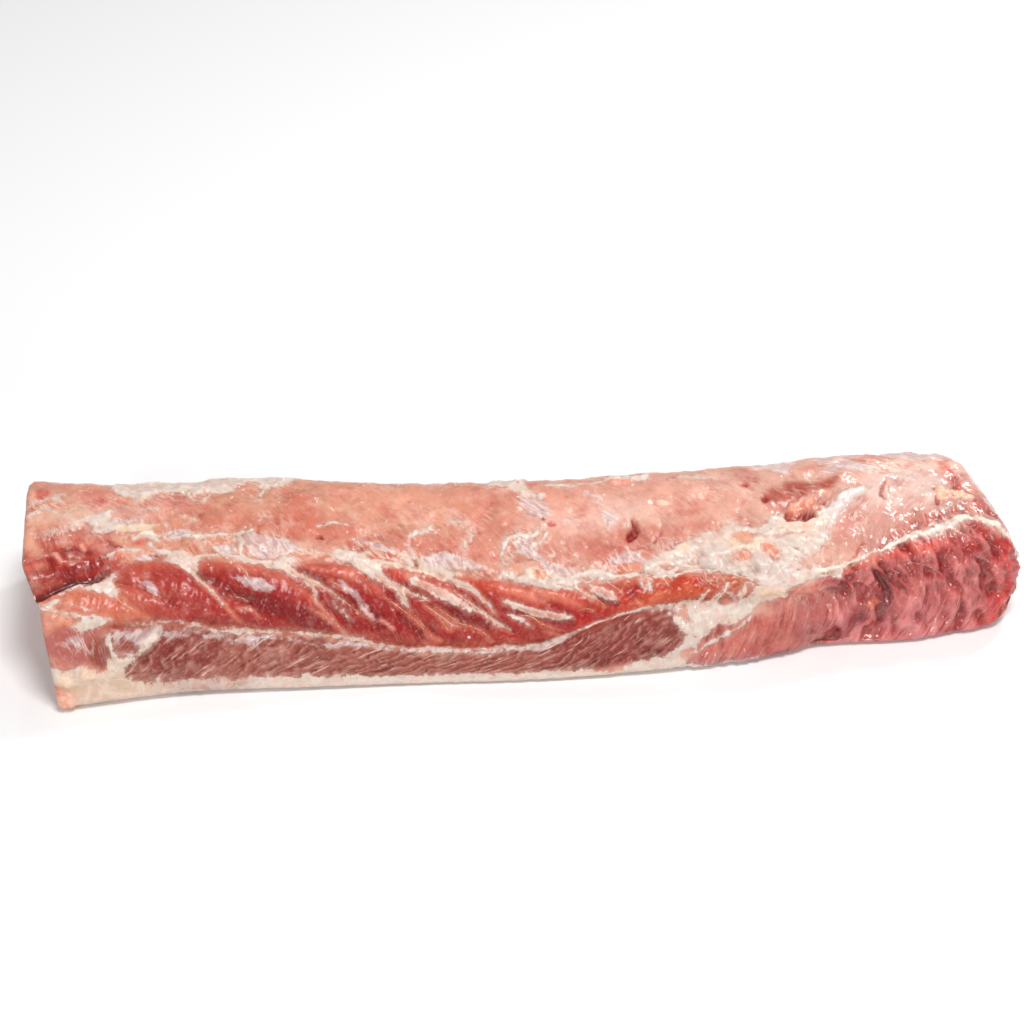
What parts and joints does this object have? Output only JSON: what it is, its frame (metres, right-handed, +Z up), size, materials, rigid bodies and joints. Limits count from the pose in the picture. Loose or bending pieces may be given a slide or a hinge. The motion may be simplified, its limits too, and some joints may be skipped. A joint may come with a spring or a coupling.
{
  "type": "boneless pork loin",
  "caption": "Whole raw boneless pork loin, lying fat side down with its boned side up, for food, kitchen and butcher scenes.",
  "frame": {"origin": "centre of the bounding box, at the height of the underside that the loin rests on", "axes": "+X along the loin towards the round, furrowed end; +Z up, out of the side that the bones were cut from; the front with the strips of rib meat faces -Y"},
  "size_m": [0.5646, 0.14, 0.0724],
  "materials": {
    "raw_pork": "moist raw lean meat with cream fat and pale silverskin"
  },
  "bodies": {
    "root": {"pork_loin": "raw_pork"}
  },
  "joints": []
}
